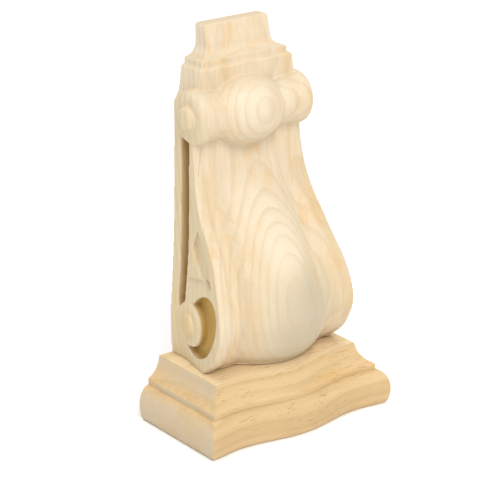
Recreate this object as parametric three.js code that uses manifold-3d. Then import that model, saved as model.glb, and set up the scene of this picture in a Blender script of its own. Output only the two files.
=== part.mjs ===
import * as THREE from 'three';
import { mergeVertices } from 'three/addons/utils/BufferGeometryUtils.js';
import Module from 'manifold-3d';

// A carved wood corbel on its moulded base, in millimetres.
// X runs across the front, -Y is the front, +Y the flat back, and Z = 0 the underside.
// "Forward" is a distance in front of the flat back, and "rise" a height above what the feature stands on.

// Moulded base
const baseWidth = 102;
const baseDepth = 58.4;
const baseHeight = 29;
const bowRise = 2.6;
const bowHollow = 1.9;
const bowHollowPlace = 33;
const topInset = 11.6;
const fasciaHeight = 2.8;
const fasciaSlope = 0.7;
const coveSag = 0.9;
const noseLevel = 19;
const noseInset = 5;
const noseLip = 0.5;
const quirkLevel = 16.4;
const quirkInset = 5.1;
const torusLevel = 7.5;
const footInset = 2.3;

// Glue joint between the base and the carved piece
const jointGap = 0.3;

// Scroll, from its foot up to the axis of the roll
const scrollHeight = 112;
const scrollWidth = 75.8;
const scrollDepth = 44.6;
const bellyRise = 11;
const bellyShift = 3.2;
const valleyDepth = 4.2;
const ribbonThickness = 6;
const ribbonGroove = 1;
const arrisDrop = 0.7;

// Back board and the slot between it and the scroll
const boardThickness = 5.4;
const slotWidth = 6.2;
const slotDepth = 9;
const slotTaper = 1.5;

// Volute in the foot of the scroll: its eye, button and hollow
const eyeRise = 18.5;
const eyeBehindSlot = 4.2;
const eyeRadius = 10.4;
const eyeProud = 0.3;
const eyeRound = 1.6;
const eyeButtonRadius = 5.4;
const eyeButtonProud = 1.6;
const hollowDepth = 4.6;
const hollowAcross = 22.8;
const hollowUp = 35.2;
const hollowForward = 10.6;
const hollowRise = 1.7;
const hollowLean = 0.6;

// Leaf-shaped recess in the side of the scroll
const leafTopRise = 66.5;
const leafFootRise = 42.5;
const leafWidth = 15;
const leafDepth = 2.2;
const leafEdge = 1.3;

// Roll across the head of the scroll
const rollForward = 13;
const capForward = 12.4;
const capRise = 0.6;
const capProud = 1.8;
const capRadius = 12.4;
const capLength = 7.8;
const capRound = 4.2;
const waistRadius = 10.6;
const bulbRadius = 15.7;
const bulbLength = 40.8;
const bulbShift = -1.5;
const rollButtonRadius = 5.7;
const rollButtonProud = 2.6;
const rollBackCut = 1.3;

// Block, stepped shoulder and neck above the roll
const boardRise = 5.6;
const shoulderRise = 4.5;
const blockWidth = 53.4;
const blockForward = 14.4;
const blockHeight = 11.4;
const blockTaper = 1.5;
const blockRound = 1.1;
const stepWidth = 46.4;
const stepForward = 12.8;
const stepHeight = 3.1;
const coveHeight = 5.6;
const neckWidth = 34.8;
const neckForward = 8.7;
const neckHeight = 8.5;
const neckLean = 2;
const neckRound = 0.9;

// Carving of the scroll, as [share of its height, share of the size beside it]
const frontShares = [
  [0, 0.652], [0.04, 0.8], [0.1, 0.918], [0.21, 1], [0.36, 0.902], [0.52, 0.68],
  [0.61, 0.523], [0.7, 0.42], [0.8, 0.36], [0.9, 0.338], [1, 0.337],
];
const arrisShares = [
  [0, 0.962], [0.15, 1], [0.26, 0.99], [0.36, 0.954], [0.47, 0.89], [0.6, 0.85], [0.79, 0.795], [1, 0.765],
];
const boardShares = [
  [0, 0.86], [0.1, 0.874], [0.18, 0.87], [0.35, 0.833], [0.52, 0.806], [0.72, 0.79], [1, 0.773],
];
const proudShares = [[0, 0.005], [0.2, 0.024], [0.45, 0.006], [0.75, 0.006], [1, 0.015]];
const valleyShares = [
  [0, 0.15], [0.08, 0.6], [0.18, 0.95], [0.32, 1], [0.45, 0.8], [0.6, 0.45], [0.74, 0.1], [0.8, 0], [1, 0],
];
const bellyShares = [
  [0, 1], [0.06, 0.72], [0.13, 0.52], [0.23, 0.42], [0.35, 0.47], [0.5, 0.49],
  [0.62, 0.41], [0.72, 0.27], [0.8, 0.13], [0.88, 0], [1, 0],
];
const bellyWidthShares = [
  [0, 0.6], [0.06, 0.64], [0.15, 0.62], [0.25, 0.56], [0.35, 0.53], [0.5, 0.55], [1, 0.58],
];
const bellySoftness = [[0, 0.9], [0.15, 1.35], [1, 1.5]];
const grooveFade = [[0, 1], [0.6, 1], [0.8, 0], [1, 0]];
const grooveShare = 0.85;
const grooveSlopeShare = 0.13;
const grooveWallShare = 0.06;

// Fineness of the facets
const ringSteps = 28;
const ringGrowth = 1.15;
const frontSteps = 9;
const baseSteps = 24;
const rollSegments = 36;
const eyeSegments = 28;
const arcSteps = 6;
const roundSteps = 3;

const weld = 1e-4;

const quarter = Math.PI / 2;
const backFace = baseDepth / 2;
const footLevel = baseHeight + jointGap;
const rollLevel = footLevel + scrollHeight;
const slotFront = boardThickness + slotWidth;
const eyeForward = slotFront + eyeBehindSlot;
const eyeLevel = footLevel + eyeRise;
const buttonShape = [[0, 1], [0.6, 0.95], [0.9, 0.7], [1, 0]];

const clamp = (value, low, high) => Math.min(Math.max(value, low), high);
const mix = (from, to, share) => from + (to - from) * share;
const smoothStep = (low, high, value) => THREE.MathUtils.smoothstep(value, low, high);
const evenly = (count) => Array.from({ length: count + 1 }, (_, i) => i / count);

// Smooth curve through a few [place, value] stations
function through(stations, place) {
  const last = stations.length - 1;
  const at = clamp(place, stations[0][0], stations[last][0]);
  const next = stations.findIndex(([start], k) => k > 0 && (at <= start || k === last));
  const slope = (k) => {
    const before = stations[Math.max(k - 1, 0)];
    const after = stations[Math.min(k + 1, last)];
    return (after[1] - before[1]) / (after[0] - before[0]);
  };
  const [x0, y0] = stations[next - 1];
  const [x1, y1] = stations[next];
  const run = x1 - x0;
  const t = (at - x0) / run;
  const lean = t * (1 - t) ** 2 * slope(next - 1) - t * t * (1 - t) * slope(next);
  return mix(y0, y1, t * t * (3 - 2 * t)) + run * lean;
}

const scrollShare = (level) => (level - footLevel) / scrollHeight;
const alongScroll = (stations, size) => (level) => size * through(stations, scrollShare(level));
const ribbonFront = alongScroll(frontShares, scrollDepth);
const arrisHalf = alongScroll(arrisShares, scrollWidth / 2);
const boardHalf = alongScroll(boardShares, scrollWidth / 2);
const proud = alongScroll(proudShares, scrollWidth / 2);

// Half width of the scroll's side face, which splays from the slot to the front arris
function sideHalf(forward, level) {
  const share = clamp((forward - slotFront) / (ribbonFront(level) - slotFront), 0, 1);
  return mix(boardHalf(level) + proud(level), arrisHalf(level), share);
}

// Forward reach of the carved front at a share of its half width; the carving sits a little to the right
function scrollFront(across, level) {
  const share = scrollShare(level);
  const shift = (bellyShift / arrisHalf(level)) * (1 - across ** 4);
  const place = Math.abs(across - shift);
  const foot = through(bellyWidthShares, share);
  const swell = Math.max(1 - (place / foot) ** 2, 0) ** through(bellySoftness, share);
  const sunk = valleyDepth * through(valleyShares, share) * (1 - smoothStep(foot, grooveShare, place));
  const reach = place < grooveShare ? grooveSlopeShare : grooveWallShare;
  const fromGroove = clamp((place - grooveShare) / reach, -1, 1);
  const groove = ribbonGroove * through(grooveFade, share) * Math.cos(fromGroove * quarter) ** 2;
  const rounded = arrisDrop * smoothStep(0.96, 1, place);
  const hollowed = (groove + sunk) * (1 - swell) + rounded;
  return ribbonFront(level) + bellyRise * through(bellyShares, share) * swell - hollowed;
}

// Closed solid through a stack of rings that each run anticlockwise seen from above
function loft(rings) {
  const count = rings[0].length;
  const index = [];
  for (let level = 0; level + 1 < rings.length; level += 1) {
    for (let i = 0; i < count; i += 1) {
      const a = level * count + i;
      const b = level * count + ((i + 1) % count);
      index.push(a, b, b + count, a, b + count, a + count);
    }
  }
  const cap = (ring, start, flipped) => {
    const outline = ring.map(([x, y]) => new THREE.Vector2(x, y));
    for (const [a, b, c] of THREE.ShapeUtils.triangulateShape(outline, [])) {
      index.push(start + a, start + (flipped ? c : b), start + (flipped ? b : c));
    }
  };
  cap(rings[0], 0, true);
  cap(rings[rings.length - 1], (rings.length - 1) * count, false);
  const geometry = new THREE.BufferGeometry();
  geometry.setAttribute('position', new THREE.Float32BufferAttribute(rings.flat(2), 3));
  geometry.setIndex(index);
  return geometry;
}

const wasm = await Module();
wasm.setup();

function toSolid(geometry) {
  const bare = geometry.clone();
  bare.deleteAttribute('normal');
  bare.deleteAttribute('uv');
  const merged = mergeVertices(bare, weld);
  const mesh = new wasm.Mesh({
    numProp: 3,
    vertProperties: new Float32Array(merged.attributes.position.array),
    triVerts: new Uint32Array(merged.index.array),
  });
  return new wasm.Manifold(mesh);
}

function toGeometry(solid) {
  const { vertProperties, triVerts } = solid.getMesh();
  const geometry = new THREE.BufferGeometry();
  geometry.setAttribute('position', new THREE.BufferAttribute(vertProperties, 3));
  geometry.setIndex(new THREE.BufferAttribute(triVerts, 1));
  geometry.computeVertexNormals();
  return geometry;
}

// Moulding profile of the base, as points (inset from the widest line, level), from the foot up
function baseProfile() {
  const foot = new THREE.EllipseCurve(footInset, torusLevel, footInset, torusLevel, -quarter, Math.PI, true);
  const torusRise = quirkLevel - torusLevel;
  const torus = new THREE.EllipseCurve(quirkInset, torusLevel, quirkInset, torusRise, Math.PI, quarter, true);
  const coveStart = new THREE.Vector2(noseInset + noseLip, noseLevel + noseLip);
  const coveEnd = new THREE.Vector2(topInset - fasciaSlope, baseHeight - fasciaHeight);
  const chord = coveEnd.clone().sub(coveStart);
  const pull = new THREE.Vector2(chord.y, -chord.x).normalize().multiplyScalar(2 * coveSag);
  const bend = coveStart.clone().lerp(coveEnd, 0.5).add(pull);
  const cove = new THREE.QuadraticBezierCurve(coveStart, bend, coveEnd);
  return [
    ...foot.getPoints(arcSteps),
    ...torus.getPoints(arcSteps).slice(1),
    new THREE.Vector2(noseInset, noseLevel),
    ...cove.getPoints(arcSteps),
    new THREE.Vector2(topInset, baseHeight),
  ];
}

// Serpentine line of the base front: a bow in the middle between two hollows
function bow(x) {
  const place = Math.abs(x);
  const wave = (t) => (1 - Math.cos(Math.PI * t)) / 2;
  const outside = (place - bowHollowPlace) / (baseWidth / 2 - bowHollowPlace);
  return outside < 0 ? mix(bowRise, -bowHollow, wave(place / bowHollowPlace)) : mix(-bowHollow, 0, wave(outside));
}

function mouldedBase() {
  const cornerDepth = baseDepth - bowRise;
  const rings = baseProfile().map(({ x: inset, y: level }) => {
    const half = baseWidth / 2 - inset;
    const front = evenly(baseSteps).map((share) => {
      const x = mix(-half, half, share);
      return [x, backFace - (cornerDepth + bow(x) - inset), level];
    });
    return [...front, [half, backFace, level], [-half, backFace, level]];
  });
  return loft(rings);
}

// Shares of the half width at which a ring crosses the front: the belly, the groove and the arris
const halfStations = [
  ...evenly(frontSteps).map((share) => share * (grooveShare - grooveSlopeShare)),
  grooveShare - grooveSlopeShare / 2,
  grooveShare,
  grooveShare + grooveWallShare / 2,
  grooveShare + grooveWallShare,
  0.96, 0.985, 1,
];
const frontStations = [...halfStations.slice(1).reverse().map((share) => -share), ...halfStations];

// Ring at one level: its sides as [half width, forward] from the back, then the front from edge to edge
function bodyRing(level, sides, frontHalf, frontAt) {
  const left = sides.map(([half, forward]) => [-half, backFace - forward, level]);
  const front = frontStations.map((share) => [share * frontHalf, backFace - frontAt(share), level]);
  const right = sides.map(([half, forward]) => [half, backFace - forward, level]).reverse();
  return [...left, ...front, ...right];
}

function scrollRing(level) {
  const half = boardHalf(level);
  const behindFront = ribbonFront(level) - arrisDrop;
  const boardEdge = Math.min(boardThickness + slotWidth / 2, behindFront / 2);
  const scrollEdge = Math.min(slotFront, mix(boardEdge, behindFront, 0.5));
  const sides = [[half, 0], [half, boardEdge], [half + proud(level), scrollEdge]];
  return bodyRing(level, sides, arrisHalf(level), (share) => scrollFront(share, level));
}

function squareRing([level, half, forward]) {
  return bodyRing(level, [[half, 0], [half, forward / 3], [half, (2 * forward) / 3]], half, () => forward);
}

// Rows of [level, half width, forward] above the roll: board, sloping shoulder, block, step, cove and neck
function headRows() {
  const boardTop = rollLevel + boardRise;
  const blockFoot = boardTop + shoulderRise;
  const blockTop = blockFoot + blockHeight;
  const stepTop = blockTop + stepHeight;
  const neckFoot = stepTop + coveHeight;
  const top = neckFoot + neckHeight;
  const blockEdge = evenly(roundSteps).map((share) => {
    const inset = blockRound * (1 - Math.cos(share * quarter));
    const level = blockTop - blockRound * (1 - Math.sin(share * quarter));
    return [level, blockWidth / 2 - blockTaper - inset, blockForward - inset];
  });
  const cove = evenly(arcSteps).map((share) => {
    const turn = Math.sin(share * quarter);
    const level = stepTop + coveHeight * (1 - Math.cos(share * quarter));
    return [level, mix(stepWidth, neckWidth, turn) / 2, mix(stepForward, neckForward, turn)];
  });
  const neckEdge = evenly(roundSteps).map((share) => {
    const inset = neckRound * (1 - Math.cos(share * quarter));
    const level = top - neckRound * (1 - Math.sin(share * quarter));
    return [level, neckWidth / 2 - inset, neckForward - neckLean - inset];
  });
  const stepFoot = blockTop + blockRound / 20;
  return [
    [boardTop, boardHalf(rollLevel), ribbonFront(rollLevel)],
    [blockFoot, blockWidth / 2, blockForward],
    ...blockEdge,
    [stepFoot, stepWidth / 2, stepForward],
    ...cove,
    ...neckEdge,
  ];
}

function bodyRings() {
  const levels = evenly(ringSteps).map((share) => footLevel + scrollHeight * share ** ringGrowth);
  return [...levels.map(scrollRing), ...headRows().map(squareRing)];
}

// Turned shape about the X axis, from a profile of [place along X, radius]
function turned(profile, forward, level, segments) {
  const points = profile.map(([x, radius]) => new THREE.Vector2(radius, x));
  const geometry = new THREE.LatheGeometry(points, segments);
  geometry.rotateZ(-quarter);
  geometry.translate(0, backFace - forward, level);
  return geometry;
}

// Domed button on a turned end, as profile points
function button(face, radius, rise) {
  return buttonShape.map(([share, width]) => [face + rise * share, radius * width]);
}

const capEnd = boardHalf(rollLevel) + capProud;

// Roll: a swelling bulb between narrow waists that run into the caps
function roll() {
  const reach = capEnd - capLength / 2;
  const crease = (bulbLength / 2) * Math.sqrt(1 - (waistRadius / bulbRadius) ** 2);
  const bulb = evenly(2 * arcSteps).map((share) => {
    const x = mix(-crease, crease, share);
    return [x + bulbShift, bulbRadius * Math.sqrt(1 - (2 * x / bulbLength) ** 2)];
  });
  const profile = [[-reach, 0], [-reach, waistRadius], ...bulb, [reach, waistRadius], [reach, 0]];
  return turned(profile, rollForward, rollLevel, rollSegments);
}

// Flared end of the roll on one side, rounded over to a flat face with a domed button
function cap(side) {
  const inner = capEnd - capLength;
  const edge = evenly(roundSteps).map((share) => [
    capEnd - capRound * (1 - Math.sin(share * quarter)), capRadius - capRound * (1 - Math.cos(share * quarter)),
  ]);
  const profile = [
    [inner - capLength, 0], [inner - capLength, waistRadius], [inner, mix(waistRadius, capRadius, 0.6)], ...edge,
    ...button(capEnd, rollButtonRadius, rollButtonProud),
  ];
  return turned(onSide(side, profile), capForward, rollLevel + capRise, rollSegments);
}

function onSide(side, profile) {
  return side > 0 ? profile : profile.map(([x, radius]) => [-x, radius]).reverse();
}

// Eye and domed button of the lower volute on one side, slanted to lie along the splayed side face
function voluteEye(side) {
  const face = sideHalf(eyeForward, eyeLevel) + eyeProud;
  const core = face - slotDepth - eyeRadius / 2;
  const edge = evenly(roundSteps).map((share) => [
    face - eyeRound * (1 - Math.sin(share * quarter)), eyeRadius - eyeRound * (1 - Math.cos(share * quarter)),
  ]);
  const profile = [[core, 0], [core, eyeRadius], ...edge, ...button(face, eyeButtonRadius, eyeButtonProud)];
  const splay = (arrisHalf(eyeLevel) - sideHalf(0, eyeLevel)) / (ribbonFront(eyeLevel) - slotFront);
  const eye = turned(onSide(side, profile), 0, 0, eyeSegments);
  eye.translate(0, -backFace, 0);
  eye.applyMatrix4(new THREE.Matrix4().makeShear(0, 0, -side * splay, 0, 0, 0));
  return eye.translate(0, backFace - eyeForward, eyeLevel);
}

// Cutter through a side face: an outline of [forward, level] sunk to a depth below that face
function sideCutter(side, outline, depthAt) {
  const clear = slotDepth;
  const across = (forward, level, out) => side * (sideHalf(forward, level) + out);
  const anticlockwise = THREE.ShapeUtils.area(outline.map(([f, z]) => new THREE.Vector2(f, z))) > 0;
  const points = anticlockwise ? outline : [...outline].reverse();
  const inner = points.map(([f, z]) => [f, z, across(f, z, -depthAt(f))]);
  const outer = points.map(([f, z]) => [f, z, across(f, z, clear)]);
  const geometry = loft(side > 0 ? [inner, outer] : [outer, inner]);
  const position = geometry.attributes.position;
  for (let i = 0; i < position.count; i += 1) {
    position.setXYZ(i, position.getZ(i), backFace - position.getX(i), position.getY(i));
  }
  geometry.index.array.reverse();
  return geometry;
}

function slotOutline() {
  const top = rollLevel - capRadius / 2;
  return [
    [boardThickness, top], [boardThickness, eyeLevel + eyeRadius], [boardThickness + slotTaper, eyeLevel],
    [slotFront, eyeLevel + eyeRadius / 2], [slotFront, top],
  ];
}

function hollowOutline() {
  const middle = [eyeForward + hollowForward, eyeLevel + hollowRise];
  const half = [hollowAcross / 2, hollowUp / 2];
  const curve = new THREE.EllipseCurve(...middle, ...half, 0, 4 * quarter, false, -hollowLean);
  return curve.getPoints(eyeSegments).slice(1).map(({ x, y }) => [x, y]);
}

// Point one ribbon thickness behind the front edge of the scroll, square to that edge
function behindRibbon(level) {
  const slope = (ribbonFront(level + 1) - ribbonFront(level - 1)) / 2;
  const length = Math.hypot(1, slope);
  const back = ribbonThickness / length;
  return new THREE.Vector2(ribbonFront(level) - back, level + back * slope);
}

// Leaf: its front edge follows the ribbon, and its back edge swells from the toe up to the tip
function leafOutline() {
  const frontEdge = evenly(arcSteps).map((share) => {
    return behindRibbon(footLevel + mix(leafTopRise, leafFootRise, share));
  });
  const tip = frontEdge[0];
  const toe = frontEdge[arcSteps];
  const rise = tip.y - toe.y;
  const backEdge = new THREE.SplineCurve([
    toe,
    new THREE.Vector2(toe.x - 0.7 * leafWidth, toe.y + 0.17 * rise),
    new THREE.Vector2(toe.x - 1.2 * leafWidth, toe.y + 0.57 * rise),
    tip,
  ]);
  return [...frontEdge, ...backEdge.getPoints(arcSteps + 2).slice(1, -1)].map(({ x, y }) => [x, y]);
}

// The recess of the leaf is deepest at its back edge and rises towards the ribbon
function leafSunk(forward) {
  return mix(leafDepth, leafEdge, clamp((forward - slotFront) / leafWidth, 0, 1));
}

function scrollBody() {
  let solid = toSolid(loft(bodyRings()));
  for (const side of [-1, 1]) {
    solid = solid.subtract(toSolid(sideCutter(side, slotOutline(), () => slotDepth)));
    solid = solid.subtract(toSolid(sideCutter(side, hollowOutline(), () => hollowDepth)));
    solid = solid.subtract(toSolid(sideCutter(side, leafOutline(), leafSunk)));
    solid = solid.add(toSolid(voluteEye(side)));
  }
  const reach = 4 * bulbRadius;
  const inFront = new THREE.BoxGeometry(2 * scrollWidth, reach, reach);
  inFront.translate(0, backFace - rollBackCut - reach / 2, rollLevel);
  const wholeRoll = toSolid(roll()).add(toSolid(cap(-1))).add(toSolid(cap(1)));
  return toGeometry(solid.add(wholeRoll.intersect(toSolid(inFront))));
}

const paleWood = new THREE.MeshStandardMaterial({ color: 0xf1ddb7, roughness: 0.72, metalness: 0 });
const warmWood = new THREE.MeshStandardMaterial({ color: 0xe9c891, roughness: 0.7, metalness: 0 });

const base = new THREE.Mesh(mouldedBase(), warmWood);
base.name = 'moulded_base';
const body = new THREE.Mesh(scrollBody(), paleWood);
body.name = 'scroll_body';

const group = new THREE.Group();
group.add(base, body);
export default group;
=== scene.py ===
import math

import bmesh
import bpy
import numpy as np
from mathutils import Matrix, Vector


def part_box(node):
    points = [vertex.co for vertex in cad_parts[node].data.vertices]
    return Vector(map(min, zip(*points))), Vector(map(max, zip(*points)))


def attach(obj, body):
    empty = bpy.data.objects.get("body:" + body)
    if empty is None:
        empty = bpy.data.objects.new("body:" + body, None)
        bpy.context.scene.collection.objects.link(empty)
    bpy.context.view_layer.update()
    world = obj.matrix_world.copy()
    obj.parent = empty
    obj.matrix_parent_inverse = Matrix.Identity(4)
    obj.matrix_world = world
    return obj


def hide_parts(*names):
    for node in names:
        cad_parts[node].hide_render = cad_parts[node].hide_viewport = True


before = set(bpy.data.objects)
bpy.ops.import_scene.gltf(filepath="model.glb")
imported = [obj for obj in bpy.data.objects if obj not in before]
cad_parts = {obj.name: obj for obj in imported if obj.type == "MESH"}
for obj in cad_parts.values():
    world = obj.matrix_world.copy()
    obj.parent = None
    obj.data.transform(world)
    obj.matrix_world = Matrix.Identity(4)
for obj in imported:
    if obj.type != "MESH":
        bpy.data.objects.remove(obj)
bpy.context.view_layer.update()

# Looks of a carved wood corbel on its moulded base. Sizes are in millimetres in the part's own frame,
# and "forward" is a distance in front of the flat back.

MM = 0.001
BODY_LOW, BODY_HIGH = (np.array(corner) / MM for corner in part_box("scroll_body"))
BASE_LOW, BASE_HIGH = (np.array(corner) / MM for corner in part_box("moulded_base"))
BACK = BODY_HIGH[1]
FOOT = BODY_LOW[2]
TOP = BODY_HIGH[2]

# Scroll
SCROLL_HEIGHT = 112.0
SCROLL_HALF = 37.9
SCROLL_DEPTH = 44.6
BELLY_RISE = 11.0
BELLY_SHIFT = 3.2
VALLEY_DEPTH = 4.2
RIBBON_THICKNESS = 6.0
RIBBON_GROOVE = 1.0
ARRIS_DROP = 0.7
ROLL_LEVEL = FOOT + SCROLL_HEIGHT

# Back board, slot, volute and leaf
BOARD_THICKNESS = 5.4
SLOT_WIDTH = 6.2
SLOT_DEPTH = 9.0
SLOT_TAPER = 1.5
SLOT_FRONT = BOARD_THICKNESS + SLOT_WIDTH
EYE_FORWARD = SLOT_FRONT + 4.2
EYE_LEVEL = FOOT + 18.5
EYE_RADIUS = 10.4
EYE_PROUD = 0.3
EYE_ROUND = 1.6
EYE_BUTTON_RADIUS = 5.4
EYE_BUTTON_PROUD = 1.6
HOLLOW_DEPTH = 4.6
HOLLOW_ACROSS = 22.8
HOLLOW_UP = 35.2
HOLLOW_FORWARD = 10.6
HOLLOW_RISE = 1.7
HOLLOW_LEAN = 0.6
LEAF_TOP_RISE = 66.5
LEAF_FOOT_RISE = 42.5
LEAF_WIDTH = 15.0
LEAF_DEPTH = 2.2
LEAF_EDGE = 1.3
NOTCH_LEVEL = 68.6
NOTCH_RISE = 0.2
NOTCH_DEPTH = 0.8
NOTCH_FADE = 9.0
NOTCH_EDGE = 0.3
NOTCH_REACH = 1.5

# Roll
ROLL_FORWARD = 13.0
CAP_FORWARD = 12.4
CAP_RISE = 0.6
CAP_PROUD = 1.8
CAP_RADIUS = 12.4
CAP_LENGTH = 7.8
CAP_ROUND = 4.2
WAIST_RADIUS = 10.6
BULB_RADIUS = 15.7
BULB_HALF = 20.4
BULB_SHIFT = -1.5
ROLL_BUTTON_RADIUS = 5.7
ROLL_BUTTON_PROUD = 2.6
ROLL_BACK_CUT = 1.3

# Head: board, shoulder, block, step, cove and neck
BOARD_RISE = 5.6
SHOULDER_RISE = 4.5
BLOCK_HALF, BLOCK_FORWARD, BLOCK_HEIGHT, BLOCK_TAPER, BLOCK_ROUND = 26.7, 14.4, 11.4, 1.5, 1.1
STEP_HALF, STEP_FORWARD, STEP_HEIGHT = 23.2, 12.8, 3.1
COVE_HEIGHT = 5.6
NECK_HALF, NECK_FORWARD, NECK_LEAN, NECK_ROUND = 17.4, 8.7, 2.0, 0.9

# Moulded base
BASE_HALF = BASE_HIGH[0]
BASE_DEPTH = BASE_HIGH[1] - BASE_LOW[1]
BASE_HEIGHT = BASE_HIGH[2]
BOW_RISE, BOW_HOLLOW, BOW_HOLLOW_PLACE = 2.6, 1.9, 33.0
TOP_INSET, FASCIA_HEIGHT, FASCIA_SLOPE, COVE_SAG = 11.6, 2.8, 0.7, 0.9
NOSE_LEVEL, NOSE_INSET, NOSE_LIP = 19.0, 5.0, 0.5
QUIRK_LEVEL, QUIRK_INSET = 16.4, 5.1
TORUS_LEVEL, FOOT_INSET = 7.5, 2.3

# Carving of the scroll, as (share of its height, share of the size beside it)
FRONT_SHARES = (
    (0, 0.652), (0.04, 0.8), (0.1, 0.918), (0.21, 1), (0.36, 0.902), (0.52, 0.68),
    (0.61, 0.523), (0.7, 0.42), (0.8, 0.36), (0.9, 0.338), (1, 0.337),
)
ARRIS_SHARES = (
    (0, 0.962), (0.15, 1), (0.26, 0.99), (0.36, 0.954), (0.47, 0.89), (0.6, 0.85), (0.79, 0.795), (1, 0.765),
)
BOARD_SHARES = ((0, 0.86), (0.1, 0.874), (0.18, 0.87), (0.35, 0.833), (0.52, 0.806), (0.72, 0.79), (1, 0.773))
PROUD_SHARES = ((0, 0.005), (0.2, 0.024), (0.45, 0.006), (0.75, 0.006), (1, 0.015))
VALLEY_SHARES = (
    (0, 0.15), (0.08, 0.6), (0.18, 0.95), (0.32, 1), (0.45, 0.8),
    (0.6, 0.45), (0.74, 0.1), (0.8, 0), (1, 0),
)
BELLY_SHARES = (
    (0, 1), (0.06, 0.72), (0.13, 0.52), (0.23, 0.42), (0.35, 0.47), (0.5, 0.49),
    (0.62, 0.41), (0.72, 0.27), (0.8, 0.13), (0.88, 0), (1, 0),
)
BELLY_WIDTH_SHARES = (
    (0, 0.6), (0.06, 0.64), (0.15, 0.62), (0.25, 0.56), (0.35, 0.53), (0.5, 0.55), (1, 0.58),
)
BELLY_SOFTNESS = ((0, 0.9), (0.15, 1.35), (1, 1.5))
GROOVE_FADE = ((0, 1), (0.6, 1), (0.8, 0), (1, 0))
GROOVE_SHARE = 0.85
GROOVE_SLOPE_SHARE = 0.13
GROOVE_WALL_SHARE = 0.06

# Small marks: a thin dark line on the front, a painted shadow line along the step of the carved notch, and
# glue squeezed out of the joint
CUT_START, CUT_END = (-25.7, 129.0), (-28.5, 116.0)
NOTCH_FROM, NOTCH_TO = 13.5, 28.0
GLUE_START, GLUE_END, GLUE_RADIUS = -26.5, -16.5, 1.2

# Fineness of the carved meshes
TURNED_SIDES = 128
GLUE_SIDES, GLUE_RINGS = 16, 24
SCROLL_LEVELS = 200
BASE_STEPS = 161
BODY_VOXEL = 0.4
MOST_TRIANGLES = 190000
BASE_EDGE = 0.35
EDGE_ANGLE = 30

# Mesh attribute that says how far a point lies inside the slot or the hollow, from 0 to 1; the wood turns
# darker and more orange by it, which is painted shade in these recesses along with rougher wood
SUNK_SHADE = "sunk"
SUNK_START, SUNK_FULL = 0.4, 2.0
SLOT_MARGIN, RIM_MARGIN, FLOOR_MARGIN = 0.6, 0.3, 0.4


def through(stations, place):
    """Smooth curve through a few (place, value) stations."""
    xs, ys = np.array(stations, float).T
    slopes = np.empty_like(ys)
    slopes[1:-1] = (ys[2:] - ys[:-2]) / (xs[2:] - xs[:-2])
    slopes[0] = (ys[1] - ys[0]) / (xs[1] - xs[0])
    slopes[-1] = (ys[-1] - ys[-2]) / (xs[-1] - xs[-2])
    at = np.clip(place, xs[0], xs[-1])
    k = np.clip(np.searchsorted(xs, at, side="right") - 1, 0, len(xs) - 2)
    run = xs[k + 1] - xs[k]
    t = (at - xs[k]) / run
    lean = t * (1 - t) ** 2 * slopes[k] - t * t * (1 - t) * slopes[k + 1]
    return ys[k] + (ys[k + 1] - ys[k]) * t * t * (3 - 2 * t) + run * lean


def mix(start, end, share):
    return start + (end - start) * share


def smooth_step(low, high, value):
    t = np.clip((value - low) / (high - low), 0, 1)
    return t * t * (3 - 2 * t)


def share_of(level):
    return (np.asarray(level, float) - FOOT) / SCROLL_HEIGHT


def ribbon_front(level):
    return SCROLL_DEPTH * through(FRONT_SHARES, share_of(level))


def arris_half(level):
    return SCROLL_HALF * through(ARRIS_SHARES, share_of(level))


def board_half(level):
    return SCROLL_HALF * through(BOARD_SHARES, share_of(level))


def rear_half(level):
    return board_half(level) + SCROLL_HALF * through(PROUD_SHARES, share_of(level))


def side_half(forward, level):
    """Half width of the scroll's side face, which splays from the slot to the front arris."""
    share = np.clip((forward - SLOT_FRONT) / (ribbon_front(level) - SLOT_FRONT), 0, 1)
    return mix(rear_half(level), arris_half(level), share)


def scroll_front(across, level):
    """Forward reach of the carved front at a share of its half width, with the belly off the middle."""
    share = share_of(level)
    place = np.abs(across - BELLY_SHIFT / arris_half(level) * (1 - across**4))
    foot = through(BELLY_WIDTH_SHARES, share)
    swell = np.maximum(1 - (place / foot) ** 2, 0) ** through(BELLY_SOFTNESS, share)
    sunk = VALLEY_DEPTH * through(VALLEY_SHARES, share) * smooth_step(GROOVE_SHARE, foot, place)
    reach = np.where(place < GROOVE_SHARE, GROOVE_SLOPE_SHARE, GROOVE_WALL_SHARE)
    from_groove = np.clip((place - GROOVE_SHARE) / reach, -1, 1)
    groove = RIBBON_GROOVE * through(GROOVE_FADE, share) * np.cos(from_groove * math.pi / 2) ** 2
    rounded = ARRIS_DROP * smooth_step(0.96, 1, place)
    hollowed = (groove + sunk) * (1 - swell) + rounded
    return ribbon_front(level) + BELLY_RISE * through(BELLY_SHARES, share) * swell - hollowed


def new_object(name, vertices, faces):
    """A mesh object from vertices in millimetres."""
    mesh = bpy.data.meshes.new(name)
    mesh.from_pydata((np.asarray(vertices, float) * MM).tolist(), [], faces)
    mesh.validate()
    made = bpy.data.objects.new(name, mesh)
    bpy.context.scene.collection.objects.link(made)
    return made


def loft(name, rings):
    """Closed mesh through rings of equal length that each run anticlockwise seen from above."""
    count = len(rings[0])
    faces = []
    for level in range(len(rings) - 1):
        start = level * count
        for i in range(count):
            j = (i + 1) % count
            faces.append((start + i, start + j, start + count + j, start + count + i))
    faces.append(tuple(reversed(range(count))))
    faces.append(tuple(range((len(rings) - 1) * count, len(rings) * count)))
    return new_object(name, np.vstack(rings), faces)


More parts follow.
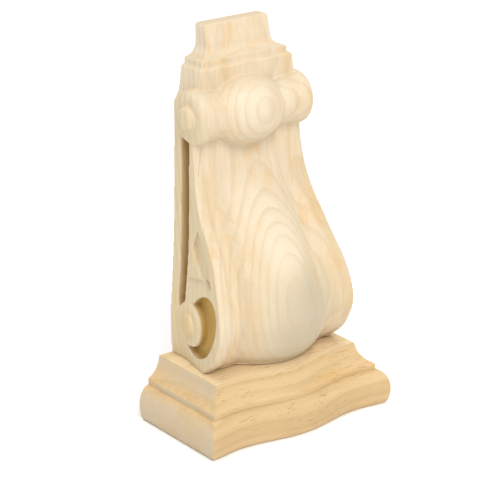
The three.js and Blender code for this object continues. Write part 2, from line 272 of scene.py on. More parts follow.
def turned(name, profile, forward, level, segments=TURNED_SIDES):
    """Mesh turned about the X axis, from a profile of (place along X, radius) that starts and ends on it."""
    angles = np.linspace(0, 2 * math.pi, segments, endpoint=False)
    inner = profile[1:-1]
    rings = [
        np.column_stack([
            np.full(segments, x),
            BACK - forward + radius * np.cos(angles),
            level + radius * np.sin(angles),
        ])
        for x, radius in inner
    ]
    ends = [[profile[0][0], BACK - forward, level], [profile[-1][0], BACK - forward, level]]
    vertices = np.vstack(rings + [ends])
    first_end, last_end = len(vertices) - 2, len(vertices) - 1
    last_ring = (len(inner) - 1) * segments
    faces = []
    for k in range(len(inner) - 1):
        for i in range(segments):
            j = (i + 1) % segments
            a, b = k * segments + i, k * segments + j
            faces.append((a, b, b + segments, a + segments))
    for i in range(segments):
        j = (i + 1) % segments
        faces.append((first_end, j, i))
        faces.append((last_end, last_ring + i, last_ring + j))
    made = new_object(name, vertices, faces)
    outward(made)
    return made


def outward(made):
    """Turns the faces of a closed mesh outwards."""
    work = bmesh.new()
    work.from_mesh(made.data)
    bmesh.ops.recalc_face_normals(work, faces=work.faces)
    if work.calc_volume(signed=True) < 0:
        bmesh.ops.reverse_faces(work, faces=work.faces)
    work.to_mesh(made.data)
    work.free()


def cut(made, cutter):
    """Cuts one closed mesh out of another."""
    tool = made.modifiers.new("cut", "BOOLEAN")
    tool.operation = "DIFFERENCE"
    tool.solver = "EXACT"
    tool.object = cutter
    apply_modifiers(made)
    bpy.data.objects.remove(cutter)


def apply_modifiers(made):
    graph = bpy.context.evaluated_depsgraph_get()
    finished = bpy.data.meshes.new_from_object(made.evaluated_get(graph))
    made.modifiers.clear()
    made.data = finished


def join(made, others):
    """One mesh object with the meshes of several."""
    work = bmesh.new()
    for part in [made, *others]:
        work.from_mesh(part.data)
    work.to_mesh(made.data)
    work.free()
    for part in others:
        bpy.data.objects.remove(part)


def remesh(made, voxel):
    tool = made.modifiers.new("remesh", "REMESH")
    tool.mode = "VOXEL"
    tool.voxel_size = voxel * MM
    tool.adaptivity = 0
    apply_modifiers(made)


def smooth(made, factor, repeat):
    tool = made.modifiers.new("smooth", "SMOOTH")
    tool.factor = factor
    tool.iterations = repeat
    apply_modifiers(made)


def soften_edges(made, width):
    """Rounds the sharp edges a little, and keeps the broad faces beside them flat."""
    tool = made.modifiers.new("bevel", "BEVEL")
    tool.width = width * MM
    tool.segments = 2
    tool.limit_method = "ANGLE"
    tool.angle_limit = math.radians(EDGE_ANGLE)
    tool.harden_normals = True
    apply_modifiers(made)


def decimate(made, most):
    count = sum(len(face.vertices) - 2 for face in made.data.polygons)
    if count > most:
        tool = made.modifiers.new("decimate", "DECIMATE")
        tool.ratio = most / count
        apply_modifiers(made)


def body_ring(level, sides, front_half, shares, front):
    """Ring of the carved piece: its sides as (half width, forward) from the back, then its front."""
    left = [(-half, BACK - forward, level) for half, forward in sides]
    middle = [(share * front_half, BACK - reach, level) for share, reach in zip(shares, front)]
    right = [(half, BACK - forward, level) for half, forward in reversed(sides)]
    return np.array(left + middle + right)


def scroll_ring(level, shares):
    half, rear = float(board_half(level)), float(rear_half(level))
    behind = float(ribbon_front(level)) - ARRIS_DROP
    board_edge = min(BOARD_THICKNESS + SLOT_WIDTH / 2, behind / 2)
    scroll_edge = min(SLOT_FRONT, mix(board_edge, behind, 0.5))
    sides = [(half, 0), (half, board_edge), (rear, scroll_edge)]
    return body_ring(level, sides, float(arris_half(level)), shares, scroll_front(shares, level))


def square_ring(level, half, forward, shares):
    sides = [(half, 0), (half, forward / 3), (half, forward * 2 / 3)]
    return body_ring(level, sides, half, shares, np.full(len(shares), forward))


def head_rows():
    """Rows of (level, half width, forward) above the roll."""
    board_top = ROLL_LEVEL + BOARD_RISE
    block_foot = board_top + SHOULDER_RISE
    block_top = block_foot + BLOCK_HEIGHT
    step_top = block_top + STEP_HEIGHT
    rows = [
        (board_top, float(board_half(ROLL_LEVEL)), float(ribbon_front(ROLL_LEVEL))),
        (block_foot, BLOCK_HALF, BLOCK_FORWARD),
    ]
    for turn in np.linspace(0, math.pi / 2, 7):
        inset = BLOCK_ROUND * (1 - math.cos(turn))
        level = block_top - BLOCK_ROUND * (1 - math.sin(turn))
        rows.append((level, BLOCK_HALF - BLOCK_TAPER - inset, BLOCK_FORWARD - inset))
    rows.append((block_top + BLOCK_ROUND / 20, STEP_HALF, STEP_FORWARD))
    for turn in np.linspace(0, math.pi / 2, 13):
        gone = math.sin(turn)
        level = step_top + COVE_HEIGHT * (1 - math.cos(turn))
        rows.append((level, mix(STEP_HALF, NECK_HALF, gone), mix(STEP_FORWARD, NECK_FORWARD, gone)))
    for turn in np.linspace(0, math.pi / 2, 7):
        inset = NECK_ROUND * (1 - math.cos(turn))
        level = TOP - NECK_ROUND * (1 - math.sin(turn))
        rows.append((level, NECK_HALF - inset, NECK_FORWARD - NECK_LEAN - inset))
    return rows


def side_cutter(side, outline, depth_at):
    """Cutter through a side face: an outline of (forward, level) sunk to a depth below that face."""
    points = np.array(outline, float)
    doubled = np.sum(points[:, 0] * np.roll(points[:, 1], -1) - np.roll(points[:, 0], -1) * points[:, 1])
    if doubled < 0:
        points = points[::-1]
    forward, level = points.T
    face = side_half(forward, level)
    inner = np.column_stack([side * (face - depth_at(forward)), BACK - forward, level])
    outer = np.column_stack([side * (face + SLOT_DEPTH), BACK - forward, level])
    made = loft("cutter", [inner, outer])
    outward(made)
    return made


def slot_outline():
    top = ROLL_LEVEL - CAP_RADIUS / 2
    return [
        (BOARD_THICKNESS, top),
        (BOARD_THICKNESS, EYE_LEVEL + EYE_RADIUS),
        (BOARD_THICKNESS + SLOT_TAPER, EYE_LEVEL),
        (SLOT_FRONT, EYE_LEVEL + EYE_RADIUS / 2),
        (SLOT_FRONT, top),
    ]


def hollow_outline():
    turn = np.linspace(0, 2 * math.pi, 96, endpoint=False)
    across, up = HOLLOW_ACROSS / 2 * np.cos(turn), HOLLOW_UP / 2 * np.sin(turn)
    cosine, sine = math.cos(-HOLLOW_LEAN), math.sin(-HOLLOW_LEAN)
    forward = EYE_FORWARD + HOLLOW_FORWARD + across * cosine - up * sine
    level = EYE_LEVEL + HOLLOW_RISE + across * sine + up * cosine
    return np.column_stack([forward, level])


def behind_ribbon(level):
    """Point one ribbon thickness behind the front edge of the scroll, square to that edge."""
    slope = (ribbon_front(level + 1) - ribbon_front(level - 1)) / 2
    back = RIBBON_THICKNESS / np.hypot(1, slope)
    return np.array([ribbon_front(level) - back, level + back * slope])


def spline(points, steps):
    """Points along a Catmull-Rom curve through a few points."""
    knots = np.array([2 * points[0] - points[1], *points, 2 * points[-1] - points[-2]])
    curve = []
    for k in range(len(points) - 1):
        a, b, c, d = knots[k:k + 4]
        for t in np.linspace(0, 1, steps, endpoint=False):
            curve.append(0.5 * (2 * b + (c - a) * t + (2 * a - 5 * b + 4 * c - d) * t**2
                                + (3 * b - a - 3 * c + d) * t**3))
    return curve[1:]


def leaf_outline():
    levels = FOOT + np.linspace(LEAF_TOP_RISE, LEAF_FOOT_RISE, 25)
    front_edge = [behind_ribbon(level) for level in levels]
    tip, toe = front_edge[0], front_edge[-1]
    rise = tip[1] - toe[1]
    back_edge = spline([
        toe,
        toe + (-0.7 * LEAF_WIDTH, 0.17 * rise),
        toe + (-1.2 * LEAF_WIDTH, 0.57 * rise),
        tip,
    ], 10)
    return front_edge + back_edge


def leaf_sunk(forward):
    return mix(LEAF_DEPTH, LEAF_EDGE, np.clip((forward - SLOT_FRONT) / LEAF_WIDTH, 0, 1))


def button(face, radius, rise):
    """Profile points of a domed button on a turned end."""
    turn = np.linspace(0, math.pi / 2, 12)
    return [(face + rise * math.sin(t), radius * math.cos(t) ** 0.6) for t in turn[:-1]] + [(face + rise, 0)]


def roll():
    """Bulb of the roll, with a narrow waist on each side that runs into the caps."""
    reach = cap_end() - CAP_LENGTH / 2
    crease = BULB_HALF * math.sqrt(1 - (WAIST_RADIUS / BULB_RADIUS) ** 2)
    bulb = [
        (x + BULB_SHIFT, BULB_RADIUS * math.sqrt(1 - (x / BULB_HALF) ** 2))
        for x in np.linspace(-crease, crease, 80)
    ]
    profile = [(-reach, 0), (-reach, WAIST_RADIUS), *bulb, (reach, WAIST_RADIUS), (reach, 0)]
    return flat_backed(turned("roll", profile, ROLL_FORWARD, ROLL_LEVEL))


def cap_end():
    return float(board_half(ROLL_LEVEL)) + CAP_PROUD


def cap(side):
    """Flared end of the roll, rounded over to a flat face with a domed button."""
    end = cap_end()
    inner = end - CAP_LENGTH
    profile = [
        (inner - CAP_LENGTH, 0), (inner - CAP_LENGTH, WAIST_RADIUS),
        (inner, mix(WAIST_RADIUS, CAP_RADIUS, 0.6)),
    ]
    for t in np.linspace(0, math.pi / 2, 12):
        profile.append((end - CAP_ROUND * (1 - math.sin(t)), CAP_RADIUS - CAP_ROUND * (1 - math.cos(t))))
    profile += button(end, ROLL_BUTTON_RADIUS, ROLL_BUTTON_PROUD)
    placed = [(side * x, radius) for x, radius in profile]
    return flat_backed(turned("cap", placed, CAP_FORWARD, ROLL_LEVEL + CAP_RISE))


def flat_backed(made):
    for vertex in made.data.vertices:
        vertex.co.y = min(vertex.co.y, (BACK - ROLL_BACK_CUT) * MM)
    return made


def volute_eye(side):
    """Eye and domed button of the lower volute, slanted to lie along the splayed side face."""
    face = float(side_half(EYE_FORWARD, EYE_LEVEL)) + EYE_PROUD
    core = face - SLOT_DEPTH - EYE_RADIUS / 2
    profile = [(core, 0), (core, EYE_RADIUS)]
    for t in np.linspace(0, math.pi / 2, 6):
        profile.append((face - EYE_ROUND * (1 - math.sin(t)), EYE_RADIUS - EYE_ROUND * (1 - math.cos(t))))
    profile += button(face, EYE_BUTTON_RADIUS, EYE_BUTTON_PROUD)
    eye = turned("eye", [(side * x, radius) for x, radius in profile], EYE_FORWARD, EYE_LEVEL)
    splay = (arris_half(EYE_LEVEL) - rear_half(EYE_LEVEL)) / (ribbon_front(EYE_LEVEL) - SLOT_FRONT)
    for vertex in eye.data.vertices:
        vertex.co.x -= side * splay * (vertex.co.y - (BACK - EYE_FORWARD) * MM)
    return eye


def places(made):
    """Places of a mesh's vertices in millimetres."""
    place = np.empty(len(made.data.vertices) * 3)
    made.data.vertices.foreach_get("co", place)
    return place.reshape(-1, 3) / MM


def put_places(made, place):
    made.data.vertices.foreach_set("co", (place * MM).ravel())
    made.data.update()


def carve_notch(made):
    """Sinks the panel between the leaf and the hollow a little, under a short level step."""
    place = places(made)
    facing = np.empty(place.size)
    made.data.vertices.foreach_get("normal", facing)
    facing = facing.reshape(-1, 3)
    forward, level = BACK - place[:, 1], place[:, 2]
    top = NOTCH_LEVEL + NOTCH_RISE * (forward - SLOT_FRONT)
    under = smooth_step(-NOTCH_EDGE, NOTCH_EDGE, top - level) * (1 - smooth_step(0, NOTCH_FADE, top - level))
    inside = smooth_step(0.6, 1.4, forward - SLOT_FRONT)
    inside *= smooth_step(0, 0.6, ribbon_front(level) - RIBBON_THICKNESS - forward)
    on_side = smooth_step(0.7, 0.9, np.abs(facing[:, 0]))
    near_face = np.abs(np.abs(place[:, 0]) - side_half(forward, level)) < NOTCH_REACH
    place[:, 0] -= np.sign(place[:, 0]) * NOTCH_DEPTH * under * inside * on_side * near_face
    put_places(made, place)


def square_foot(made):
    """Brings the edge of the foot, which the remesh rounds over two voxels, down to the joint."""
    place = places(made)
    above = place[:, 2] - FOOT
    rounded = 2 * BODY_VOXEL
    squared = np.maximum(above - rounded, 0) * 2
    place[:, 2] = np.where(above < 2 * rounded, FOOT + squared, place[:, 2])
    put_places(made, place)


def mark_sunk_shade(made):
    """Marks what lies well inside the slot and the volute's hollow, which are painted darker and more orange:
    painted shade in the recesses, with rougher wood there too.
    The hollow's zone reaches too far back, so it also tints part of the flat back behind the eye."""
    place = places(made)
    forward, level = BACK - place[:, 1], place[:, 2]
    face = np.where(forward < SLOT_FRONT - RIM_MARGIN, board_half(level), side_half(forward, level))
    depth = face - np.abs(place[:, 0])
    from_eye = np.hypot(forward - EYE_FORWARD, level - EYE_LEVEL)
    in_slot = (forward > BOARD_THICKNESS - SLOT_MARGIN) & (forward < SLOT_FRONT + SLOT_MARGIN)
    in_hollow = (from_eye > EYE_RADIUS - RIM_MARGIN) & (from_eye < HOLLOW_UP / 2 + HOLLOW_FORWARD)
    in_hollow &= (level < EYE_LEVEL + HOLLOW_UP / 2) & (depth < HOLLOW_DEPTH + FLOOR_MARGIN)
    low = level < ROLL_LEVEL - CAP_RADIUS / 2
    front = forward < ribbon_front(level) - RIBBON_THICKNESS / 3
    share = smooth_step(SUNK_START, SUNK_FULL, depth) * (depth < SLOT_DEPTH + RIM_MARGIN)
    share = share * ((in_slot | in_hollow) & low & front)
    marks = made.data.attributes.new(SUNK_SHADE, "FLOAT", "POINT")
    marks.data.foreach_set("value", share.astype(np.float32))


def glue_bead():
    """Small uneven bead of glue along the foot of the carved front."""
    turn = np.linspace(0, 2 * math.pi, GLUE_SIDES, endpoint=False)
    half = float(arris_half(FOOT))
    rings = []
    for share in np.linspace(0.02, 0.98, GLUE_RINGS):
        x = mix(GLUE_START, GLUE_END, share)
        thick = GLUE_RADIUS * math.sqrt(math.sin(math.pi * share)) * (0.8 + 0.2 * math.cos(9 * share))
        front = BACK - float(scroll_front(x / half, FOOT))
        level = np.maximum(FOOT + thick * np.sin(turn), BASE_HEIGHT + 0.1)
        rings.append(np.column_stack([np.full(GLUE_SIDES, x), front - thick * np.cos(turn) * 0.7, level]))
    bead = loft("glue", rings)
    outward(bead)
    return bead


def carved_body():
    half_shares = np.unique(np.concatenate([
        np.linspace(0, 0.76, 40), np.linspace(0.76, 0.92, 33), np.linspace(0.92, 1, 13),
    ]))
    shares = np.concatenate([-half_shares[:0:-1], half_shares])
    levels = FOOT + SCROLL_HEIGHT * np.linspace(0, 1, SCROLL_LEVELS) ** 1.15
    rings = [scroll_ring(level, shares) for level in levels]
    rings += [square_ring(*row, shares) for row in head_rows()]
    body = loft("carved_body", rings)
    outward(body)
    for side in (-1, 1):
        cut(body, side_cutter(side, slot_outline(), lambda forward: SLOT_DEPTH))
        cut(body, side_cutter(side, hollow_outline(), lambda forward: HOLLOW_DEPTH))
        cut(body, side_cutter(side, leaf_outline(), leaf_sunk))
    join(body, [volute_eye(-1), volute_eye(1), roll(), cap(-1), cap(1), glue_bead()])
    remesh(body, BODY_VOXEL)
    carve_notch(body)
    smooth(body, 0.5, 2)
    square_foot(body)
    decimate(body, MOST_TRIANGLES)
    mark_sunk_shade(body)
    shade_smooth(body)
    return body


def base_profile():
    """Moulding profile of the base as (inset from the widest line, level), from the foot up."""
    points = []
    for turn in np.linspace(-math.pi / 2, -math.pi, 16):
        points.append((FOOT_INSET * (1 + math.cos(turn)), TORUS_LEVEL * (1 + math.sin(turn))))
    for turn in np.linspace(math.pi, math.pi / 2, 20)[1:]:
        rise = (QUIRK_LEVEL - TORUS_LEVEL) * math.sin(turn)
        points.append((QUIRK_INSET * (1 + math.cos(turn)), TORUS_LEVEL + rise))
    points.append((NOSE_INSET, NOSE_LEVEL))
    start = np.array([NOSE_INSET + NOSE_LIP, NOSE_LEVEL + NOSE_LIP])
    end = np.array([TOP_INSET - FASCIA_SLOPE, BASE_HEIGHT - FASCIA_HEIGHT])
    chord = end - start
    pull = np.array([chord[1], -chord[0]]) / np.hypot(*chord) * 2 * COVE_SAG
    control = (start + end) / 2 + pull
    for t in np.linspace(0, 1, 14):
        points.append(tuple((1 - t) ** 2 * start + 2 * t * (1 - t) * control + t * t * end))
    points.append((TOP_INSET, BASE_HEIGHT))
    return points


def bow(x):
    """Serpentine line of the base front: a bow in the middle between two hollows."""
    place = np.abs(x)
    inner = (1 - np.cos(math.pi * np.minimum(place / BOW_HOLLOW_PLACE, 1))) / 2
    outside = np.clip((place - BOW_HOLLOW_PLACE) / (BASE_HALF - BOW_HOLLOW_PLACE), 0, 1)
    outer = (1 - np.cos(math.pi * outside)) / 2
    return np.where(outside > 0, mix(-BOW_HOLLOW, 0, outer), mix(BOW_RISE, -BOW_HOLLOW, inner))


def moulded_block():
    corner_depth = BASE_DEPTH - BOW_RISE
    rings = []
    for inset, level in base_profile():
        half = BASE_HALF - inset
        x = np.linspace(-half, half, BASE_STEPS)
        front = np.column_stack([x, BACK - (corner_depth + bow(x) - inset), np.full(len(x), level)])
        rings.append(np.vstack([front, [(half, BACK, level), (-half, BACK, level)]]))
    block = loft("base_block", rings)
    outward(block)
    shade_smooth(block)
    soften_edges(block, BASE_EDGE)
    return block


def shade_smooth(made):
    made.data.polygons.foreach_set("use_smooth", np.ones(len(made.data.polygons), bool))


# Wood

# Grain noise: scale across the grain, share of it along the grain, detail, roughness and distortion
STREAK_GRAIN = (0.5, 0.03, 3.0, 0.55)
BROAD_GRAIN = (0.16, 0.09, 2.0, 0.5, 0.4)
PATCH_GRAIN = (0.1, 0.2, 2.0, 0.5, 0.6)
FIBRE_GRAIN = (2.6, 0.022, 3.0, 0.6)
DASH_GRAIN = (1.7, 0.08, 2.0, 0.6)
CLUSTER_GRAIN = (0.12, 0.3)
CLEARER_GRAIN = (0.07, 0.5)
RING_WANDER = 2.6
WANDER_GRAINS = (((0.03, 0.25), RING_WANDER), ((0.12, 0.2, 1.0), RING_WANDER / 4))
END_BANDS = (0.09, 0.09, 0.02)
FIBRE_SHARE = 0.1
WOOD_SPECULAR = 0.35
BUMP_STRENGTH = 0.35
BUMP_HEIGHT = 0.05


class Nodes:
    """Short calls that add nodes to one material's tree."""

    def __init__(self, material):
        material.use_nodes = True
        self.tree = material.node_tree
        self.tree.nodes.clear()

    def add(self, kind, **values):
        node = self.tree.nodes.new(kind)
        for name, value in values.items():
            setattr(node, name, value)
        return node

    def put(self, socket, value):
        if isinstance(value, bpy.types.NodeSocket):
            self.tree.links.new(value, socket)
        else:
            socket.default_value = value

    def math(self, operation, a, b=0.0, c=0.0, clamp=False):
        node = self.add("ShaderNodeMath", operation=operation, use_clamp=clamp)
        for socket, value in zip(node.inputs, (a, b, c)):
            self.put(socket, value)
        return node.outputs[0]

    def scaled(self, vector, scale):
        node = self.add("ShaderNodeVectorMath", operation="MULTIPLY")
        self.put(node.inputs[0], vector)
        node.inputs[1].default_value = scale
        return node.outputs[0]

    def noise(self, vector, scale=1.0, detail=2.0, roughness=0.5, distortion=0.0):
        node = self.add("ShaderNodeTexNoise")
        self.put(node.inputs["Vector"], vector)
        node.inputs["Scale"].default_value = scale
        node.inputs["Detail"].default_value = detail
        node.inputs["Roughness"].default_value = roughness
        node.inputs["Distortion"].default_value = distortion
        return node.outputs["Fac"]

    def ramp(self, value, low, high):
        """0 below low, 1 above high, smooth between."""
        node = self.add("ShaderNodeMapRange", interpolation_type="SMOOTHSTEP")
        self.put(node.inputs["Value"], value)
        node.inputs["From Min"].default_value = low
        node.inputs["From Max"].default_value = high
        return node.outputs["Result"]

    def blend(self, share, a, b):
        node = self.add("ShaderNodeMix", data_type="RGBA")
        self.put(node.inputs["Factor"], share)
        self.put(node.inputs[6], a)
        self.put(node.inputs[7], b)
        return node.outputs[2]


def line_mark(n, across, up, start, end, half):
    """1 on a thin straight line between two points in the plane of two of the part's axes, 0 away from it."""
    run = (end[0] - start[0], end[1] - start[1])
    squared = run[0] ** 2 + run[1] ** 2
    from_across = n.math("SUBTRACT", across, start[0])
    from_up = n.math("SUBTRACT", up, start[1])
    along = n.math("MULTIPLY", from_up, run[1] / squared)
    along = n.math("MULTIPLY_ADD", from_across, run[0] / squared, along, clamp=True)
    off_across = n.math("MULTIPLY_ADD", along, -run[0], from_across)
    off_up = n.math("MULTIPLY_ADD", along, -run[1], from_up)
    off = n.math("MULTIPLY_ADD", off_up, off_up, n.math("MULTIPLY", off_across, off_across))
    return n.ramp(n.math("SQRT", off), half, half / 4)


def stretched(scale, along, share):
    """Noise scale across the grain, and a share of it along the grain."""
    scales = [scale] * 3
    scales[along] = scale * share
    return tuple(scales)


def wood(name, along, pith, tilt, colours, rings, end_share, heart, pore_share, patches, marks):
    """Bare sanded wood. along is the grain's axis, 0 for X or 2 for Z. The middle of the log passes pith, and
    moves by tilt across for each millimetre along. The wood near it is paler, fading between the two
    radii of heart. rings holds the spacing and strength of the growth rings. patches lie under the rings
    and marks over them."""
    pale, mid, warm, ring, dark, end_grain, cavity_shade = colours
    ring_spacing, ring_strength = rings
    material = bpy.data.materials.new(name)
    n = Nodes(material)
    place = n.scaled(n.add("ShaderNodeTexCoord").outputs["Object"], (1 / MM,) * 3)

    def grain(scale, share, detail=2.0, roughness=0.5, distortion=0.0):
        return n.noise(n.scaled(place, stretched(scale, along, share)), 1.0, detail, roughness, distortion)

    split = n.add("ShaderNodeSeparateXYZ")
    n.put(split.inputs[0], place)
    run = n.math("SUBTRACT", split.outputs[along], pith[along])
    squares = []
    for axis in range(3):
        if axis != along:
            lean = n.math("MULTIPLY", run, tilt[axis])
            offset = n.math("SUBTRACT", n.math("SUBTRACT", split.outputs[axis], pith[axis]), lean)
            squares.append(n.math("MULTIPLY", offset, offset))
    radius = n.math("SQRT", n.math("ADD", squares[0], squares[1]))
    steady = radius
    wanders = [(grain(*settings), swing) for settings, swing in WANDER_GRAINS]
    for noise, swing in wanders:
        radius = n.math("ADD", radius, n.math("MULTIPLY", n.math("SUBTRACT", noise, 0.5), swing))
    phase = n.math("FRACT", n.math("DIVIDE", radius, ring_spacing))
    late = n.math("MULTIPLY", n.ramp(phase, 0.45, 0.93), n.ramp(phase, 1.0, 0.95))
    early = n.ramp(n.math("SINE", n.math("DIVIDE", radius, ring_spacing * 0.4)), -0.4, 1.0)
    clearer = n.ramp(grain(*CLEARER_GRAIN), 0.3, 0.7)
    strength = n.math("MULTIPLY_ADD", clearer, ring_strength * 0.6, ring_strength * 0.4)
    shown = n.math("MULTIPLY", late, strength)

    streak = grain(*STREAK_GRAIN)
    broad = grain(*BROAD_GRAIN)
    patch = grain(*PATCH_GRAIN)
    fibre = grain(*FIBRE_GRAIN)
    dashes = n.ramp(grain(*DASH_GRAIN), 0.58, 0.68)
    pore = n.math("MULTIPLY", dashes, n.ramp(grain(*CLUSTER_GRAIN), 0.4, 0.6))

    uneven = n.math("MULTIPLY_ADD", patch, 2 * heart[0], -heart[0])
    outer = n.ramp(n.math("ADD", steady, uneven), heart[0], heart[1])
    streaks = n.math("MULTIPLY", n.ramp(streak, 0.32, 0.68), n.math("MULTIPLY_ADD", outer, 0.6, 0.4))
    colour = n.blend(streaks, pale, mid)
    warmth = n.math("MULTIPLY", n.ramp(broad, 0.46, 0.72), n.math("MULTIPLY_ADD", outer, 0.65, 0.15))
    colour = n.blend(warmth, colour, warm)
    normal = n.add("ShaderNodeSeparateXYZ")
    n.put(normal.inputs[0], n.add("ShaderNodeNewGeometry").outputs["Normal"])

    def marked(colour, lines):
        for first, second, start, finish, half, faced, tint, share in lines:
            drawn = line_mark(n, split.outputs[first], split.outputs[second], start, finish, half)
            turned = normal.outputs[faced]
            turned = n.math("MULTIPLY", turned, -1) if faced == 1 else n.math("ABSOLUTE", turned)
            facing = n.ramp(turned, 0.4, 0.7)
            colour = n.blend(n.math("MULTIPLY", n.math("MULTIPLY", drawn, facing), share), colour, tint)
        return colour

    colour = marked(colour, patches)
    colour = n.blend(n.math("MULTIPLY", early, ring_strength * 0.3), colour, pale)
    colour = n.blend(shown, colour, ring)
    colour = n.blend(n.math("MULTIPLY", n.ramp(fibre, 0.45, 0.75), FIBRE_SHARE), colour, dark)
    colour = n.blend(n.math("MULTIPLY", pore, pore_share), colour, dark)

    cut_across = n.ramp(n.math("ABSOLUTE", normal.outputs[along]), 0.55, 0.98)
    bands = n.noise(n.scaled(place, END_BANDS), 1.0, 1.0, 0.4, 0.3)
    end = n.blend(n.math("MULTIPLY", n.ramp(bands, 0.3, 0.7), 0.5), end_grain, mid)
    colour = n.blend(n.math("MULTIPLY", cut_across, end_share), colour, end)
    colour = marked(colour, marks)
    # Painted shade: the slot and the hollow turn darker and more orange by the marked attribute, together
    # with their rougher wood
    sunk = n.add("ShaderNodeAttribute", attribute_name=SUNK_SHADE)
    colour = n.blend(sunk.outputs["Fac"], colour, cavity_shade)

    shader = n.add("ShaderNodeBsdfPrincipled")
    n.put(shader.inputs["Base Color"], colour)
    n.put(shader.inputs["Roughness"], n.math("ADD", n.math("MULTIPLY", fibre, 0.12), 0.55))
    shader.inputs["Specular IOR Level"].default_value = WOOD_SPECULAR
    bump = n.add("ShaderNodeBump")
    bump.inputs["Strength"].default_value = BUMP_STRENGTH
    bump.inputs["Distance"].default_value = BUMP_HEIGHT * MM
    n.put(bump.inputs["Height"], n.math("SUBTRACT", fibre, pore))
    n.put(shader.inputs["Normal"], bump.outputs["Normal"])
    output = n.add("ShaderNodeOutputMaterial")
    n.put(output.inputs["Surface"], shader.outputs[0])
    return material


# Each wood's colours: pale, middle, warm, ring, dark, end grain, and the floor of a hollow, which is painted
# shade as well as rougher wood
BODY_COLOURS = (
    (0.63, 0.53, 0.385, 1), (0.62, 0.485, 0.315, 1), (0.62, 0.435, 0.23, 1), (0.48, 0.365, 0.22, 1),
    (0.38, 0.26, 0.12, 1), (0.54, 0.46, 0.33, 1), (0.49, 0.32, 0.09, 1),
)
BASE_COLOURS = (
    (0.58, 0.42, 0.225, 1), (0.55, 0.375, 0.175, 1), (0.56, 0.345, 0.13, 1), (0.43, 0.29, 0.13, 1),
    (0.34, 0.205, 0.085, 1), (0.52, 0.46, 0.36, 1), (0.46, 0.28, 0.06, 1),
)
ORANGE = (0.60, 0.40, 0.165, 1)
BROWN_AND_SHADE = (0.50, 0.34, 0.165, 1)
GREY_WOOD_AND_SHADE = (0.44, 0.38, 0.265, 1)
SIDE_WOOD = (0.60, 0.50, 0.295, 1)
# Painted light: a brighter colour for the upward faces of the base, as if lit from above
PAINTED_TOP_LIGHT = (0.84, 0.67, 0.42, 1)
PALE_WOOD_AND_LIGHT = (0.70, 0.615, 0.47, 1)
DARK_AND_SHADOW_LINE = (0.36, 0.24, 0.11, 1)
GLUE_COLOUR = (0.93, 0.85, 0.68, 1)

# Broad patches and thin marks: two axes, a line in their plane from start to end, its half width, the axis
# that the surface faces, a colour and its share. Axis 0 is X, 1 is Y and only its front, and 2 is Z.
BODY_PATCHES = (
    # Paler wood on the head and the belly's upper front, with painted light where more light falls from above
    (0, 2, (-6, 148), (8, 150), 15, 1, PALE_WOOD_AND_LIGHT, 0.5),
    (0, 2, (-4, 100), (2, 84), 18, 1, PALE_WOOD_AND_LIGHT, 0.4),
    (0, 2, (-22, 158), (-13, 160), 8, 1, ORANGE, 0.15),
    # Painted shade: the shadow along the right groove inside the ribbon
    (0, 2, (26, 112), (31, 88), 5, 1, BROWN_AND_SHADE, 0.35),
    (0, 2, (-25, 112), (-24, 60), 6, 1, ORANGE, 0.25),
    # Painted shade: the shadow in the left valley beside the belly
    (0, 2, (-18, 38), (-17, 68), 6, 1, BROWN_AND_SHADE, 0.3),
    # Grey wood on the lower belly front, with painted shade where it faces down
    (0, 2, (4, 38), (9, 54), 27, 1, GREY_WOOD_AND_SHADE, 0.8),
    # Painted shade: the shadow along the right groove, lower down
    (0, 2, (31, 92), (37, 45), 6, 1, BROWN_AND_SHADE, 0.35),
    (0, 2, (6, 144), (9, 152), 7, 1, BROWN_AND_SHADE, 0.3),
    # Paler wood on the head's sides, with painted light: they are painted paler and bluer as in bluish light
    (1, 2, (29, 172), (-5, 172), 32, 0, PALE_WOOD_AND_LIGHT, 0.6),
    (1, 2, (BACK - 12, 30), (BACK - 12, 110), 60, 0, SIDE_WOOD, 0.6),
    (1, 2, (BACK - EYE_FORWARD, EYE_LEVEL), (BACK - EYE_FORWARD, EYE_LEVEL - 1), 9, 0, ORANGE, 0.6),
)
BODY_MARKS = (
    (0, 2, CUT_START, CUT_END, 0.35, 1, DARK_AND_SHADOW_LINE, 0.45),
    # Painted shadow: a dark line along the step of the notch
    (1, 2, (BACK - NOTCH_FROM, NOTCH_LEVEL + NOTCH_RISE * (NOTCH_FROM - SLOT_FRONT)),
     (BACK - NOTCH_TO, NOTCH_LEVEL + NOTCH_RISE * (NOTCH_TO - SLOT_FRONT)), 0.4, 0, DARK_AND_SHADOW_LINE, 0.5),
    (0, 2, (GLUE_START, FOOT), (GLUE_END, FOOT), 1.2, 1, GLUE_COLOUR, 0.8),
)
BASE_PATCHES = (
    (0, 2, (4, 17.5), (46, 17.5), 3, 1, ORANGE, 0.5),
    (0, 2, (-44, 9), (-8, 11), 7, 1, BROWN_AND_SHADE, 0.35),
    (0, 2, (-10, 6), (30, 4), 5, 1, BROWN_AND_SHADE, 0.4),
    (0, 2, (-55, 8), (55, 8), 6, 1, BROWN_AND_SHADE, 0.55),
    # Painted light: the top of the base is painted brighter where it faces up
    (0, 2, (-60, FOOT), (60, FOOT), 2, 2, PAINTED_TOP_LIGHT, 0.7),
)

body_wood = wood(
    "pale_wood", 2, (1.5, BACK - 66, 60.0), (0, 0.15, 0), BODY_COLOURS, (3.3, 0.4), 0.6, (24, 36), 0.12,
    BODY_PATCHES, BODY_MARKS,
)
base_wood = wood(
    "warm_wood", 0, (0.0, BACK - 29, -77.0), (0, 0, 0.02), BASE_COLOURS, (4.6, 0.45), 0.7, (80, 120), 0.8,
    BASE_PATCHES, (),
)

body = carved_body()
block = moulded_block()
for piece, node, slot, material in (
    (body, "scroll_body", "upright_grain_wood", body_wood),
    (block, "moulded_base", "cross_grain_wood", base_wood),
):
    piece.data.materials.clear()
    piece.data.materials.append(material)
    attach(piece, "root")
    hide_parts(node)

# Floor, light and camera


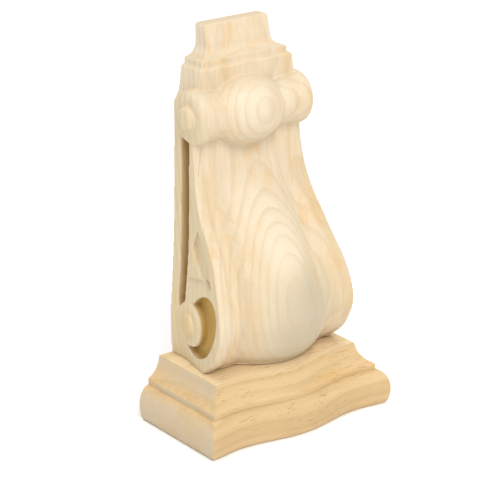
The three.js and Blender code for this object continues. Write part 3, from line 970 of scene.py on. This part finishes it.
def plain_material(name, colour):
    material = bpy.data.materials.new(name)
    n = Nodes(material)
    shader = n.add("ShaderNodeBsdfDiffuse")
    shader.inputs["Color"].default_value = colour
    output = n.add("ShaderNodeOutputMaterial")
    n.put(output.inputs["Surface"], shader.outputs[0])
    return material


FLOOR_HALF = 3000
FLOOR_COLOUR = (0.9, 0.9, 0.9, 1)
WORLD_STRENGTH = 0.6
SUN_DISTANCE = 1000

floor = new_object("floor", [
    (-FLOOR_HALF, -FLOOR_HALF, 0), (FLOOR_HALF, -FLOOR_HALF, 0),
    (FLOOR_HALF, FLOOR_HALF, 0), (-FLOOR_HALF, FLOOR_HALF, 0),
], [(0, 1, 2, 3)])
floor.data.materials.append(plain_material("floor_white", FLOOR_COLOUR))

world = bpy.data.worlds.new("studio")
bpy.context.scene.world = world
world.use_nodes = True
world.node_tree.nodes["Background"].inputs["Color"].default_value = (1, 1, 1, 1)
world.node_tree.nodes["Background"].inputs["Strength"].default_value = WORLD_STRENGTH


def aim(made, azimuth, elevation, distance):
    """Places a light at an azimuth, 0 in front and 90 to the right, turned to the middle of the part."""
    across, up = math.radians(azimuth), math.radians(elevation)
    back = Vector((math.sin(across) * math.cos(up), -math.cos(across) * math.cos(up), math.sin(up)))
    made.location = (Vector((0, 0, TOP / 2)) + back * distance) * MM
    made.rotation_mode = "QUATERNION"
    made.rotation_quaternion = back.to_track_quat("Z", "Y")
    bpy.context.scene.collection.objects.link(made)


def sun(name, azimuth, elevation, spread, strength):
    """Soft distant light."""
    light = bpy.data.lights.new(name, "SUN")
    light.energy = strength
    light.angle = math.radians(spread)
    aim(bpy.data.objects.new(name, light), azimuth, elevation, SUN_DISTANCE)


# Lights: name, azimuth, elevation and spread in degrees, and strength
for lamp in (
    ("key", -18, 46, 24, 1.5),
    ("low", -10, 10, 40, 0.4),
    ("left", -78, 14, 50, 0.4),
    ("right", 60, 12, 50, 0.3),
    ("top", 0, 82, 50, 0.6),
    ("background", 165, 70, 60, 0.85),
):
    sun(*lamp)

CAMERA_AZIMUTH = -37.388
CAMERA_ELEVATION = 20.545
CAMERA_ROLL = -0.196
CAMERA_DISTANCE = 899.95
CAMERA_TARGET = (-10.663, BACK - 30.0, 81.987)
CAMERA_LENS = 147.13
CAMERA_SENSOR = 36.0


def make_camera():
    azimuth, elevation = math.radians(CAMERA_AZIMUTH), math.radians(CAMERA_ELEVATION)
    roll_angle = math.radians(CAMERA_ROLL)
    level_back = Vector((math.sin(azimuth), -math.cos(azimuth), 0))
    back = level_back * math.cos(elevation) + Vector((0, 0, math.sin(elevation)))
    level_right = Vector((math.cos(azimuth), math.sin(azimuth), 0))
    level_up = back.cross(level_right)
    right = level_right * math.cos(roll_angle) + level_up * math.sin(roll_angle)
    up = level_up * math.cos(roll_angle) - level_right * math.sin(roll_angle)
    data = bpy.data.cameras.new("camera")
    data.sensor_width = CAMERA_SENSOR
    data.lens = CAMERA_LENS
    data.clip_start = 0.01
    data.clip_end = 20
    camera = bpy.data.objects.new("camera", data)
    bpy.context.scene.collection.objects.link(camera)
    turn = Matrix((right, up, back)).transposed().to_4x4()
    camera.matrix_world = Matrix.Translation((Vector(CAMERA_TARGET) + back * CAMERA_DISTANCE) * MM) @ turn
    bpy.context.scene.camera = camera


make_camera()
bpy.context.scene.view_settings.view_transform = "Standard"
